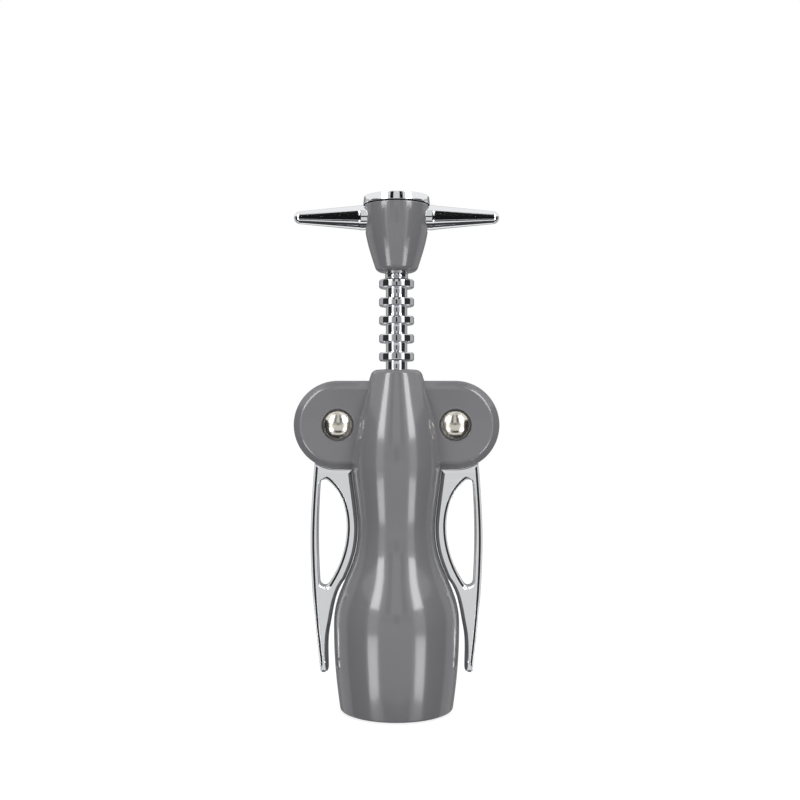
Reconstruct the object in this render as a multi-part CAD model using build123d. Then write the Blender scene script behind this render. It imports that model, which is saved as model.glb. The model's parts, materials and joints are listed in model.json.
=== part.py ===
from build123d import *
from math import cos, degrees, pi, radians, sin, sqrt
import os

os.makedirs("parts", exist_ok=True)

# A wing corkscrew standing on its bell mouth, levers down and screw fully raised.
# Millimetres. Z runs up the screw's axis from the mouth's rim, X runs across the two levers,
# and the face with the pivot pins' solid heads looks along -Y.

# Bell: outside radii and heights, from the mouth up
mouth_radius = 20.3
mouth_flare = 1.5
mouth_edge_round = 0.8
belly_radius = 22.75
belly_height = 31.0
waist_radius = 13.95
waist_height = 66.0
shoulder_radius = 16.3
shoulder_drop = 34.7
neck_radius = 8.85
neck_height = 123.2
neck_edge_round = 2.5

# Bell: inside
bottle_bore_radius = 15.2
bottle_depth = 20.0
collar_wall = 2.4
collar_recess = 1.0
guide_thickness = 3.5
guide_ledge = 1.4
guide_tube_wall = 1.8
guide_tube_length = 6.5
chamber_height = 38.0
tunnel_radius = 10.8
tunnel_start_height = 60.0
bush_wall = 1.54
bush_length = 7.0
neck_lip_thickness = 2.7
neck_lip_gap = 0.3

# Ears and pivots
ear_radius = 16.0
ear_thickness = 9.2
ear_bevel_width = 2.6
ear_bevel_depth = 1.3
pivot_drop = 20.0
slot_width = 4.2
pin_radius = 3.0
pin_head_radius = 5.45
pin_head_edge = 0.5
pin_head_rise = 3.0
pin_recess_radius = 5.8
pin_recess_depth = 1.2
stud_radius = 1.6
stud_length = 5.0

# Rack: a sleeve with ring teeth
ring_radius = 6.36
ring_thickness = 3.1
ring_edge_round = 0.4
ring_pitch = 6.6
ring_count = 10
rack_root_radius = 3.9
rack_collar_radius = 4.2
rack_collar_height = 1.4
top_ring_drop = 3.6
rack_tail = 1.85
travel = 34.0

# Spindle, worm and washers
spindle_radius = 2.43
socket_wall = 1.45
socket_depth = 6.0
socket_roof = 1.7
washer_thickness = 0.6
worm_shank_radius = 3.3
worm_wire_radius = 1.4
worm_radius = 4.6
worm_pitch = 9.2
worm_point_rise = 3.0
worm_point_radius = 0.15
worm_boss_height = 3.0
worm_tip_rise = 2.5
worm_pin_radius = 0.9

# Handle
knob_lift = 35.4
knob_height = 24.05
knob_radius = 12.0
knob_foot_radius = 7.3
knob_foot_round = 2.5
knob_floor = 2.4
cap_radius = 12.15
cap_height = 2.95
cap_draft = 0.35
cap_edge_round = 0.5
cap_gap = 0.4
arm_reach = 37.25
arm_height = 19.9
arm_root_radius = 4.5
arm_tip_radius = 2.3
hub_radius = 6.0
spindle_seat_depth = 11.0
handle_screw_radius = 1.5
handle_screw_head_radius = 3.2
handle_screw_head_height = 2.6
handle_screw_bite = 10.0
handle_screw_slot = 0.8
cap_plug_height = 1.7

# Levers
lever_thickness = 7.6
lever_head_thickness = 3.6
lever_stand = 8.25
lever_reach_height = 58.0
lever_root_offset = 8.0
lever_tip_height = 14.0
lever_tip_stand = 4.75
lever_tip_width = 2.9
lever_tip_round = 1.3
lever_bevel = 1.1
lever_waist_web = 3.9
lever_tuck = 0.6
neck_inner_angle = 8.0
neck_outer_angle = 22.0
neck_bite = 0.5
window_rim = 2.6
window_drop = 18.2
window_bottom = 41.8
window_lean = 0.9
window_round = 1.8
window_bevel = 0.9
dimple_radius = 0.45
dimple_depth = 0.6
dimple_rise = 4.0

# Clearances, and how far a cutting shape runs past the face it opens
overcut = 1.0
lever_bell_gap = 0.4
lever_free_gap = 1.4
lever_ear_gap = 0.3
tooth_rim_gap = 0.2
tooth_flank_gap = 0.2
tooth_root_gap = 0.6
pinion_addendum = 0.05
mesh_depth = 1.0
pocket_gap = 0.5
running_gap = 0.06
slide_gap = 0.1
end_play = 0.1
worm_guide_gap = 0.8

# Places worked out from the sizes above
shoulder_height = neck_height - shoulder_drop
pivot_height = neck_height - pivot_drop
window_top = pivot_height - window_drop
knob_bottom = neck_height + knob_lift
lever_reach = belly_radius + lever_stand
lever_tip_reach = belly_radius + lever_tip_stand
collar_outer_radius = bottle_bore_radius + collar_wall
guide_top = bottle_depth + guide_thickness
tip_radius = ear_radius - tooth_rim_gap
pitch_radius = tip_radius - pinion_addendum
pivot_x = ring_radius + tip_radius - mesh_depth
pinion_root_radius = tip_radius - mesh_depth - tooth_root_gap
pocket_radius = tip_radius + pocket_gap
bush_bore_radius = ring_radius + slide_gap
bush_outer_radius = bush_bore_radius + bush_wall
bush_top = neck_height - neck_lip_thickness
rack_top = knob_bottom - washer_thickness - end_play
top_ring_height = rack_top - top_ring_drop
bottom_ring_height = top_ring_height - (ring_count - 1) * ring_pitch
rack_bottom = bottom_ring_height - ring_thickness / 2 - rack_tail
rack_bore_radius = spindle_radius + running_gap
socket_top = rack_bottom - end_play - washer_thickness
socket_outer_radius = worm_shank_radius + socket_wall
shank_top = socket_top - socket_roof
socket_bottom = shank_top - socket_depth
worm_pin_height = (shank_top + socket_bottom) / 2
worm_tip_height = bottle_depth + worm_tip_rise
helix_radius = worm_radius - worm_wire_radius
knob_top = knob_bottom + knob_height
cap_bottom = knob_top + cap_gap
hub_bottom = knob_bottom + knob_floor
arm_axis_height = knob_bottom + arm_height
spindle_top = hub_bottom + spindle_seat_depth
screw_seat = cap_bottom - cap_plug_height - end_play - handle_screw_head_height


def at_pivot(x=pivot_x, z=pivot_height):
    """Frame at a pivot: its local Z is the pin's axis, pointing to the front (-Y)."""
    return Plane.XZ * Pos(x, z)


def mirrored(solid):
    """The left-hand twin of a right-hand piece."""
    return mirror(solid, about=Plane.YZ)


def tube(outer_radius, bore_radius, bottom, top):
    """Round sleeve on the screw's axis between two heights."""
    ring = Circle(outer_radius) - Circle(bore_radius)
    return Pos(0, 0, bottom) * extrude(ring, top - bottom)


def cylinder_between(radius, bottom, top):
    """Round bar on the screw's axis between two heights."""
    return Pos(0, 0, bottom) * extrude(Circle(radius), top - bottom)


def round_rims(solid):
    """The solid's full circular edges, from the lowest to the highest."""
    circles = solid.edges().filter_by(GeomType.CIRCLE)
    return circles.filter_by(lambda edge: edge.is_closed).sort_by(Axis.Z)


def bell_outline(grow=0.0):
    """Half section of the bell's outside in X and Z; grow shifts it outwards.

    Four S-curves run between the mouth, the belly, the waist, the shoulder and the neck.
    Each leaves and meets those places upright, except at the mouth and the neck.
    """
    rise = belly_height
    fall = waist_height - belly_height
    swell = shoulder_height - waist_height
    taper = neck_height - shoulder_height
    mouth = (mouth_radius + grow, 0)
    belly = (belly_radius + grow, belly_height)
    waist = (waist_radius + grow, waist_height)
    shoulder = (shoulder_radius + grow, shoulder_height)
    neck = (neck_radius + grow, neck_height)
    flare = (mouth[0] + mouth_flare, 0.32 * rise)
    swell_in = (belly[0], 0.61 * rise)
    belly_out = (belly[0], belly_height + 0.41 * fall)
    waist_in = (waist[0], waist_height - 0.46 * fall)
    waist_out = (waist[0], waist_height + 0.23 * swell)
    shoulder_in = (shoulder[0], shoulder_height - 0.15 * swell)
    shoulder_out = (shoulder[0], shoulder_height + 0.38 * taper)
    draw = (neck[0] + 0.1 * taper, neck_height - 0.34 * taper)
    side = [
        Bezier(mouth, flare, swell_in, belly),
        Bezier(belly, belly_out, waist_in, waist),
        Bezier(waist, waist_out, shoulder_in, shoulder),
        Bezier(shoulder, shoulder_out, draw, neck),
        Line(neck, (0, neck_height)),
        Line((0, neck_height), (0, 0)),
        Line((0, 0), mouth),
    ]
    return make_face(side)


def bell_core():
    """Half section of the bell's hollow: collar seat, chamber, tunnel and bush seat."""
    chamber_radius = collar_outer_radius - guide_ledge
    lip_radius = bush_bore_radius + neck_lip_gap
    squeeze = tunnel_start_height - chamber_height
    side = [
        Line((0, -overcut), (collar_outer_radius, -overcut)),
        Line((collar_outer_radius, -overcut), (collar_outer_radius, guide_top)),
        Line((collar_outer_radius, guide_top), (chamber_radius, guide_top)),
        Line((chamber_radius, guide_top), (chamber_radius, chamber_height)),
        Bezier(
            (chamber_radius, chamber_height),
            (chamber_radius, chamber_height + 0.4 * squeeze),
            (tunnel_radius, tunnel_start_height - 0.4 * squeeze),
            (tunnel_radius, tunnel_start_height),
        ),
        Line((tunnel_radius, tunnel_start_height), (tunnel_radius, pivot_height)),
        Line((tunnel_radius, pivot_height), (bush_outer_radius, pivot_height)),
        Line((bush_outer_radius, pivot_height), (bush_outer_radius, bush_top)),
        Line((bush_outer_radius, bush_top), (lip_radius, bush_top)),
        Line((lip_radius, bush_top), (lip_radius, neck_height + overcut)),
        Line((lip_radius, neck_height + overcut), (0, neck_height + overcut)),
        Line((0, neck_height + overcut), (0, -overcut)),
    ]
    return make_face(side)


def ear_outline(radius):
    """Ear seen from the front: a round end on the pivot and straight edges back to the bell."""
    web = Pos(pivot_x / 2, pivot_height) * Rectangle(pivot_x, 2 * radius)
    return web + Pos(pivot_x, pivot_height) * Circle(radius)


def ear():
    """Right ear before its slot: wide shallow bevels run round its front and its back."""
    block = extrude(Plane.XZ * ear_outline(ear_radius), ear_thickness / 2, both=True)
    for place in (0, -1):
        face = block.faces().filter_by(Axis.Y).sort_by(Axis.Y)[place]
        rim = face.edges().filter_by(lambda edge: edge.center().X > 0.1)
        block = chamfer(rim, ear_bevel_width, ear_bevel_depth, reference=face)
    return block


def pivot_cuts():
    """What the right ear loses: the lever's slot, the pin's hole and a recess for each pin head."""
    recess = Cylinder(pin_recess_radius, 2 * pin_recess_depth)
    cuts = Cylinder(pocket_radius, slot_width) + Cylinder(pin_radius, ear_thickness)
    for side in (-1, 1):
        cuts += Pos(0, 0, side * ear_thickness / 2) * recess
    return at_pivot() * cuts


def bell_body():
    """One-piece bell with its two slotted ears."""
    shell = revolve(Plane.XZ * bell_outline(), Axis.Z)
    shell = fillet(round_rims(shell)[0], mouth_edge_round)
    shell = fillet(round_rims(shell)[-1], neck_edge_round)
    right_cuts = pivot_cuts()
    shell = shell + ear() + mirrored(ear())
    shell -= right_cuts
    shell -= mirrored(right_cuts)
    return shell - revolve(Plane.XZ * bell_core(), Axis.Z)


def neck_bush():
    """Sleeve in the neck that the ring teeth slide through."""
    return tube(bush_outer_radius, bush_bore_radius, bush_top - bush_length, bush_top)


def worm_guide():
    """Disc that stops the bottle's rim and keeps the worm on the axis through its short tube."""
    hole = worm_radius + worm_guide_gap
    disc = tube(collar_outer_radius, hole, bottle_depth, guide_top)
    return disc + tube(hole + guide_tube_wall, hole, bottle_depth, guide_top + guide_tube_length)


def bottle_collar():
    """Soft ring in the mouth that grips the bottle's neck."""
    return tube(collar_outer_radius, bottle_bore_radius, collar_recess, bottle_depth)


def pin_head():
    """Domed head standing on the recess floor, its flat side at local Z = 0."""
    foot = (pin_head_radius, 0)
    rim = (pin_head_radius, pin_head_edge)
    crown = (0, pin_head_rise)
    side = [
        Line((0, 0), foot),
        Line(foot, rim),
        TangentArc(crown, rim, tangent=(1, 0), tangent_from_first=True),
        Line(crown, (0, 0)),
    ]
    return revolve(Plane.XZ * make_face(side), Axis.Z)


def pivot_pin():
    """Right pivot pin: a domed head at the front, a shaft through both cheeks, a bore for the stud."""
    seat = ear_thickness / 2 - pin_recess_depth
    pin = Cylinder(pin_radius, 2 * seat) + Pos(0, 0, seat) * pin_head()
    pin -= Pos(0, 0, -seat + stud_length / 2) * Cylinder(stud_radius, stud_length)
    return at_pivot() * pin


def pivot_cap():
    """Right rear cap: the same domed head with a stud pressed into the pin."""
    seat = ear_thickness / 2 - pin_recess_depth
    cap = Pos(0, 0, -seat) * Rot(180, 0, 0) * pin_head()
    cap += Pos(0, 0, -seat + stud_length / 2) * Cylinder(stud_radius, stud_length)
    return at_pivot() * cap


def rack():
    """Sleeve with ring teeth, a plain tail below them and a collar under the handle."""
    sleeve = cylinder_between(rack_root_radius, rack_bottom, rack_top)
    sleeve += cylinder_between(rack_collar_radius, rack_top - rack_collar_height, rack_top)
    ring = fillet(Cylinder(ring_radius, ring_thickness).edges(), ring_edge_round)
    for step in range(ring_count):
        sleeve += Pos(0, 0, top_ring_height - step * ring_pitch) * ring
    return sleeve - cylinder_between(rack_bore_radius, rack_bottom, rack_top)


def worm_pin():
    """Cross pin that locks the worm's shank in the spindle's socket."""
    return Pos(0, 0, worm_pin_height) * Rot(0, 90, 0) * Cylinder(worm_pin_radius, 2 * socket_outer_radius)


def spindle():
    """Turning shaft inside the rack, with the worm's socket below and a tapped hole above."""
    shaft = cylinder_between(spindle_radius, shank_top, spindle_top)
    shaft += cylinder_between(socket_outer_radius, socket_bottom, socket_top)
    shaft -= cylinder_between(worm_shank_radius, socket_bottom, shank_top)
    shaft -= cylinder_between(handle_screw_radius, spindle_top - handle_screw_bite, spindle_top)
    return shaft - worm_pin()


def worm():
    """Open helix of round wire under a solid shank; its last part thins to a point."""
    point_top = worm_tip_height + worm_point_rise
    helix_top = socket_bottom - worm_wire_radius
    point_path = Helix(worm_pitch, worm_point_rise, helix_radius, center=(0, 0, worm_tip_height))
    coil_path = Helix(worm_pitch, helix_top - point_top, helix_radius, center=(0, 0, point_top))
    sections = [(point_path ^ 0) * Circle(worm_point_radius), (point_path ^ 1) * Circle(worm_wire_radius)]
    point = sweep(sections, path=point_path, multisection=True, is_frenet=True)
    coil = sweep((coil_path ^ 0) * Circle(worm_wire_radius), path=coil_path, is_frenet=True)
    turn = degrees(2 * pi * worm_point_rise / worm_pitch)
    boss = cylinder_between(socket_outer_radius, socket_bottom - worm_boss_height, socket_bottom)
    boss += cylinder_between(worm_shank_radius, socket_bottom, shank_top)
    return boss + Rot(0, 0, turn) * coil + point - worm_pin()


def lower_washer():
    """Thrust washer between the spindle's socket and the rack's tail."""
    return tube(rack_root_radius, rack_bore_radius, socket_top, socket_top + washer_thickness)


def upper_washer():
    """Thrust washer between the rack's collar and the knob."""
    return tube(rack_collar_radius, rack_bore_radius, knob_bottom - washer_thickness, knob_bottom)


def knob_outline():
    """Half section of the knob: a near-straight top that draws in to a narrow foot."""
    foot = (knob_foot_radius, knob_bottom)
    crown = (knob_radius, knob_top)
    side = Bezier(
        crown,
        (knob_radius, knob_top - 0.46 * knob_height),
        (knob_foot_radius + 0.1 * knob_height, knob_bottom + 0.33 * knob_height),
        foot,
    )
    floor = (0, knob_bottom)
    top = (0, knob_top)
    return make_face([side, Line(foot, floor), Line(floor, top), Line(top, crown)])


def handle_knob():
    """Tapered cup moulded round the crossbar's hub, with a round hole for each arm."""
    knob = revolve(Plane.XZ * knob_outline(), Axis.Z)
    knob = fillet(round_rims(knob)[0], knob_foot_round)
    knob -= cylinder_between(hub_radius + end_play, hub_bottom, knob_top)
    knob -= cylinder_between(rack_bore_radius, knob_bottom, hub_bottom)
    arm_hole = Rot(0, 90, 0) * Cylinder(arm_root_radius + end_play, 2 * (knob_radius + overcut))
    return knob - Pos(0, 0, arm_axis_height) * arm_hole


def handle_bar():
    """Crossbar casting: an upright hub and two tapered arms with round ends."""
    root = (knob_radius, arm_root_radius)
    shoulder = (arm_reach - arm_tip_radius, arm_tip_radius)
    tip = (arm_reach, 0)
    side = [
        Line((0, 0), (0, arm_root_radius)),
        Line((0, arm_root_radius), root),
        Line(root, shoulder),
        TangentArc(tip, shoulder, tangent=(0, 1), tangent_from_first=True),
        Line(tip, (0, 0)),
    ]
    arm = Pos(0, 0, arm_axis_height) * revolve(Plane.XZ * make_face(side), Axis.X)
    hub = cylinder_between(hub_radius, hub_bottom, cap_bottom)
    bar = hub + arm + mirrored(arm)
    bar -= cylinder_between(spindle_radius, hub_bottom, spindle_top)
    bar -= cylinder_between(handle_screw_radius, spindle_top, cap_bottom)
    return bar - cylinder_between(handle_screw_head_radius, screw_seat, cap_bottom)


def handle_screw():
    """Screw through the hub into the spindle, under the cap."""
    head = cylinder_between(handle_screw_head_radius, screw_seat, screw_seat + handle_screw_head_height)
    shank = cylinder_between(handle_screw_radius, spindle_top - handle_screw_bite, screw_seat)
    drive = Rectangle(2 * handle_screw_head_radius, handle_screw_slot)
    cut = extrude(drive, handle_screw_slot)
    return head + shank - Pos(0, 0, screw_seat + handle_screw_head_height - handle_screw_slot) * cut


def handle_cap():
    """Bright flat plate on the knob, with a plug pressed into the hub's recess."""
    cap_top = cap_bottom + cap_height
    side = Polyline(
        (0, cap_bottom),
        (cap_radius, cap_bottom),
        (cap_radius - cap_draft, cap_top),
        (0, cap_top),
        close=True,
    )
    plate = revolve(Plane.XZ * make_face(side), Axis.Z)
    plate = fillet(round_rims(plate)[-1], cap_edge_round)
    plug_bottom = screw_seat + handle_screw_head_height + end_play
    return plate + cylinder_between(handle_screw_head_radius, plug_bottom, cap_bottom)


def lever_outline():
    """Right lever's arm seen from the front: it hugs the bell, then hangs clear to its tip."""
    outer_root = (pivot_x + lever_root_offset, pivot_height - ear_radius / 2)
    widest = (lever_reach, lever_reach_height)
    outer_tip = (lever_tip_reach, lever_tip_height)
    inner_tip = (lever_tip_reach - lever_tip_width, lever_tip_height)
    free = (belly_radius + lever_free_gap, belly_height - 1)
    tuck = ((belly_radius + waist_radius) / 2 - lever_tuck, (belly_height + waist_height) / 2)
    corner = (neck_radius, pivot_height - ear_radius / 2)
    edge = [
        Spline(outer_root, widest, outer_tip, tangents=((0.08, -1), (-0.13, -1))),
        Line(outer_tip, inner_tip),
        Spline(inner_tip, free, tuck, tangents=((0, 1), (-1, 1))),
        Line(tuck, (corner[0], tuck[1])),
        Line((corner[0], tuck[1]), corner),
        Line(corner, outer_root),
    ]
    blank = make_face(edge)
    tips = [v for v in blank.vertices() if abs(v.Y - lever_tip_height) < 0.01]
    blank = fillet(tips, lever_tip_round)
    blank -= bell_outline(lever_bell_gap)
    return blank - ear_outline(ear_radius + lever_ear_gap)


def lever_window():
    """Long opening in the arm: nearly straight on the outside, bowed inwards, round at both ends."""
    height = window_top - window_bottom
    far_x = lever_reach - window_rim
    top = (far_x - window_lean, window_top)
    bottom = (far_x - window_lean, window_bottom)
    bow = waist_radius + lever_bell_gap + lever_waist_web
    bow_x = (4 * bow - top[0]) / 3
    upper_bow = (bow_x, window_top - 0.16 * height)
    lower_bow = (bow_x, window_bottom + 0.35 * height)
    middle = (far_x, (window_top + window_bottom) / 2)
    shape = make_face([Bezier(top, upper_bow, lower_bow, bottom), ThreePointArc(bottom, middle, top)])
    return fillet(shape.vertices(), window_round)


def lever_arm():
    """Bevelled arm with its window and the small dimple by its tip."""
    outline = lever_outline() - lever_window()
    arm = extrude(Plane.XZ * outline, lever_thickness / 2, both=True)
    for place in (0, -1):
        face = arm.faces().filter_by(Axis.Y).sort_by(Axis.Y)[place]
        arm = chamfer(face.outer_wire().edges(), lever_bevel)
    for place in (0, -1):
        face = arm.faces().filter_by(Axis.Y).sort_by(Axis.Y)[place]
        arm = chamfer(face.inner_wires()[0].edges(), window_bevel)
    dimple_x = lever_tip_reach - lever_tip_width / 2
    dimple = at_pivot(dimple_x, lever_tip_height + dimple_rise) * Pos(0, 0, lever_thickness / 2)
    return arm - dimple * Cylinder(dimple_radius, 2 * dimple_depth)


def meshing_rings():
    """Heights, above the pivot, of the rings that meet the pinion on their way down."""
    reach = sqrt(tip_radius**2 - (pivot_x - ring_radius) ** 2) + ring_thickness / 2
    heights = [top_ring_height - step * ring_pitch - pivot_height for step in range(ring_count)]
    return [height for height in heights if -reach < height < travel + reach]


def lever_head():
    """Toothed disc on the pivot, cut so that a ring of the rack drops into each gap."""
    disc = Circle(tip_radius) - Circle(pin_radius + running_gap)
    gap_width = ring_thickness + 2 * tooth_flank_gap
    gap_depth = tip_radius - pinion_root_radius
    gap = Pos(-tip_radius, 0) * Rectangle(2 * gap_depth, gap_width)
    for height in meshing_rings():
        disc -= Rot(0, 0, -degrees(height / pitch_radius)) * gap
    reach = ear_radius + lever_ear_gap + lever_bevel + neck_bite
    inner = radians(neck_inner_angle)
    outer = radians(neck_outer_angle)
    neck = make_face(Polyline(
        (0, -pinion_root_radius / 2),
        (-reach * sin(inner), -reach * cos(inner)),
        (reach * sin(outer), -reach * cos(outer)),
        close=True,
    ))
    return extrude(at_pivot() * (disc + neck), lever_head_thickness / 2, both=True)


def lever():
    """Right lever: one casting of toothed head, neck and arm."""
    return lever_arm() + lever_head()


pieces = {
    "bell_body": bell_body(),
    "neck_bush": neck_bush(),
    "worm_guide": worm_guide(),
    "bottle_collar": bottle_collar(),
    "right_pivot_pin": pivot_pin(),
    "right_pivot_cap": pivot_cap(),
    "rack": rack(),
    "spindle": spindle(),
    "worm": worm(),
    "worm_pin": worm_pin(),
    "lower_washer": lower_washer(),
    "upper_washer": upper_washer(),
    "handle_knob": handle_knob(),
    "handle_bar": handle_bar(),
    "handle_screw": handle_screw(),
    "handle_cap": handle_cap(),
    "right_lever": lever(),
}
for name in ("pivot_pin", "pivot_cap", "lever"):
    pieces["left_" + name] = mirrored(pieces["right_" + name])

for name, piece in pieces.items():
    piece.label = name
    export_step(piece, f"parts/{name}.step")
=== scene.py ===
# %% [markdown]
# # A wing corkscrew
# A corkscrew of this kind is a grey moulded bell with two slotted ears, a bright screw that slides
# down through the bell, and two cast levers that lift it again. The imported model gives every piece
# its place and its joint. This script gives each one its finish, and remakes the pieces whose edges
# need more care than a plain solid has: the bell, the ears, the levers, the rack and the handle.

# %% The frame
import json
import math

import bmesh
import bpy
import numpy as np
from mathutils import Matrix, Vector
from mathutils.geometry import tessellate_polygon


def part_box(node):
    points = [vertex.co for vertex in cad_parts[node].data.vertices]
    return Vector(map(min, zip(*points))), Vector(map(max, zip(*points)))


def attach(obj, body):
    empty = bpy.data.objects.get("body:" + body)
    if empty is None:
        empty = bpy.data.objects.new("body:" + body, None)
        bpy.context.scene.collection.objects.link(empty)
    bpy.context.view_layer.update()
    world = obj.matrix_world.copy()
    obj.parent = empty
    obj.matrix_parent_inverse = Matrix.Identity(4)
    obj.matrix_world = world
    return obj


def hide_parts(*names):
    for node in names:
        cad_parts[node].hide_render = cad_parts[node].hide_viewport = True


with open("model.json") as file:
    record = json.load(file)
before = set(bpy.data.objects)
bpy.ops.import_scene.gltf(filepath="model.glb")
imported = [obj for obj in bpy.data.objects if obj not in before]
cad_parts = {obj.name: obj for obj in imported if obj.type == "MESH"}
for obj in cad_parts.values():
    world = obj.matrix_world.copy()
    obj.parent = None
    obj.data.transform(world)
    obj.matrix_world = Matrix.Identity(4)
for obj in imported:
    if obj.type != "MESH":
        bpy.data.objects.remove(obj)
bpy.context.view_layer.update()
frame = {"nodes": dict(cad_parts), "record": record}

nodes = frame["nodes"]

# %% [markdown]
# ## Sizes
# Blender works in metres and the shapes are easier to read in millimetres, so every length below is
# in millimetres and `MM` turns it into metres when a mesh is made. Heights and reaches that another
# piece decides are read from the frame, so that a remade piece lies where its solid lies.

# %% Millimetres, and the places that the frame gives
MM = 0.001


def low_high(node):
    """Lowest and highest corner of a node, in millimetres."""
    low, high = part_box(node)
    return np.array(low) / MM, np.array(high) / MM


bell_high = low_high("bell_body")[1]
rack_low, rack_high = low_high("rack")
knob_low, knob_high = low_high("handle_knob")
cap_low, cap_high = low_high("handle_cap")
bar_high = low_high("handle_bar")[1]
pin_low, pin_high = low_high("right_pivot_pin")
pivot_x = (pin_low[0] + pin_high[0]) / 2
pivot_z = (pin_low[2] + pin_high[2]) / 2
ear_radius = bell_high[0] - pivot_x
print("pivot at", round(pivot_x, 2), round(pivot_z, 2), "ear radius", round(ear_radius, 2))

# %% [markdown]
# ## Curves that the pieces share
# Almost every piece here is an outline carried round an axis, so a few small helpers do most of the
# work. One samples a Bezier curve. One walks along straight lines and rounds each corner with a true
# arc, because real edges are never perfectly sharp and the rounding is what catches the light. One
# turns a grid of points into a closed mesh. Curve objects with a Screw modifier could do some of
# this, but points worked out as arrays can also be cut, blended and measured before they are a mesh.

# %% Bezier and rounded polyline
def bezier(start, pull_a, pull_b, end, count):
    """Cubic Bezier: the four points weighted by (1-t)^3, 3t(1-t)^2, 3t^2(1-t) and t^3."""
    t = np.linspace(0, 1, count)[:, None]
    p = np.array([start, pull_a, pull_b, end], float)
    return (1 - t) ** 3 * p[0] + 3 * t * (1 - t) ** 2 * p[1] + 3 * t**2 * (1 - t) * p[2] + t**3 * p[3]


def rounded(corners, radii, steps=7):
    """Open path through corners, each turned by an arc of its radius; the two ends stay put.

    An arc starts radius * tan(turn / 2) before its corner. At angle a along it, the point is the
    start plus radius * (sin(a) * incoming direction + (1 - cos(a)) * inward normal).
    """
    p = np.array(corners, float)
    r = np.array(radii, float)[1:-1, None]
    legs = np.diff(p, axis=0)
    legs /= np.linalg.norm(legs, axis=1)[:, None]
    into, out = legs[:-1], legs[1:]
    turn = np.arctan2(into[:, 0] * out[:, 1] - into[:, 1] * out[:, 0], (into * out).sum(1))[:, None]
    inward = np.stack([-into[:, 1], into[:, 0]], 1) * np.sign(turn)
    start = p[1:-1] - into * r * np.tan(abs(turn) / 2)
    a = np.linspace(0, 1, steps)[None, :, None] * abs(turn)[:, None, :]
    arcs = start[:, None] + r[:, None] * (np.sin(a) * into[:, None] + (1 - np.cos(a)) * inward[:, None])
    return np.vstack([p[:1], arcs.reshape(-1, 2), p[-1:]])


print("a rounded square corner has", len(rounded([(0, 0), (1, 0), (1, 1)], [0, 0.2, 0])), "points")

# %% Grid of points to a closed mesh object
SHARP_ANGLE = math.radians(38)
SAME_POINT = 2e-7


def new_object(name, data):
    """Object with this data, linked to the scene."""
    made = bpy.data.objects.new(name, data)
    bpy.context.scene.collection.objects.link(made)
    return made


def mark_edges(mesh):
    """Smooth shading that breaks at SHARP_ANGLE."""
    mesh.shade_smooth()
    mesh.set_sharp_from_angle(angle=SHARP_ANGLE)


def piece_from_grid(name, grid, wrap_columns=False):
    """Mesh over a grid of points in millimetres, shape (rows, columns, 3), one quad per cell.

    The last row joins the first, and columns do so where they wrap. Points that fall together, as
    at a pole, are merged, and faces are turned outwards.
    """
    rows, columns = grid.shape[:2]
    index = np.arange(rows * columns).reshape(rows, columns)
    index = np.vstack([index, index[:1]])
    if wrap_columns:
        index = np.hstack([index, index[:, :1]])
    quads = np.stack([index[:-1, :-1], index[1:, :-1], index[1:, 1:], index[:-1, 1:]], -1).reshape(-1, 4)
    mesh = bpy.data.meshes.new(name)
    mesh.from_pydata((grid.reshape(-1, 3) * MM).tolist(), [], quads.tolist())
    return finish_mesh(name, mesh)


def finish_mesh(name, mesh):
    """Merges doubles, turns faces outwards, marks sharp edges, and makes the object."""
    work = bmesh.new()
    work.from_mesh(mesh)
    bmesh.ops.remove_doubles(work, verts=work.verts, dist=SAME_POINT)
    bmesh.ops.dissolve_degenerate(work, edges=work.edges, dist=SAME_POINT / 2)
    bmesh.ops.recalc_face_normals(work, faces=work.faces)
    work.to_mesh(mesh)
    work.free()
    mark_edges(mesh)
    return new_object(name, mesh)


# %% Turning a profile
def turned(profile, steps):
    """Grids of r cos a, r sin a and h for (r, h) points turned once round in equal steps of a."""
    a = np.linspace(0, 2 * np.pi, steps, endpoint=False)[:, None]
    r, h = np.array(profile, float).T[:, None, :]
    return r * np.cos(a), r * np.sin(a), h + 0 * a


def lathe(name, profile, steps, axis="Z", centre=(0, 0, 0), closed=False):
    """Turns a profile of (radius, height) points once round an axis through centre.

    A point goes to (r cos a, r sin a, h) about Z. About X the height runs along +X, and about -Y it
    runs towards the front. A closed profile is a ring; an open one starts and ends on the axis.
    """
    across, along, height = turned(profile, steps)
    if axis == "Z":
        grid = np.stack([across, along, height], -1)
    elif axis == "X":
        grid = np.stack([height, across, along], -1)
    else:
        grid = np.stack([across, -height, along], -1)
    return piece_from_grid(name, grid + np.array(centre), wrap_columns=closed)


print("a square turned in four steps gives grids of", turned([(1, 0), (1, 1)], 4)[0].shape)

# %% [markdown]
# ## Effects that several finishes share
# Three things make a plain colour look like a made surface. Handling leaves soft smudges that change
# the gloss. Moulding and casting leave a very fine unevenness that bends reflections a little. Edges
# wear first. Painted images could do this, but noise that is worked out from the position fits any
# shape and needs no unwrapping. Each effect is a node group, built once and placed in each material
# with its own values.

# %% A small maker of node groups
def new_group(name, inputs, outputs):
    """Empty shader node group with float inputs {name: default} and float outputs."""
    group = bpy.data.node_groups.new(name, "ShaderNodeTree")
    for label, value in inputs.items():
        socket = group.interface.new_socket(label, in_out="INPUT", socket_type="NodeSocketFloat")
        socket.default_value = value
    for label in outputs:
        group.interface.new_socket(label, in_out="OUTPUT", socket_type="NodeSocketFloat")
    return group, group.nodes.new("NodeGroupInput"), group.nodes.new("NodeGroupOutput")


print("new_group makes a group's sockets, and its inside is wired afterwards")

# %% Helpers that wire nodes
def wire(tree, node, inputs):
    """Gives a node's inputs, by name or number, a constant each, or a link where it is a socket."""
    for label, value in inputs.items():
        if isinstance(value, bpy.types.NodeSocket):
            tree.links.new(value, node.inputs[label])
        else:
            node.inputs[label].default_value = value
    return node


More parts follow.
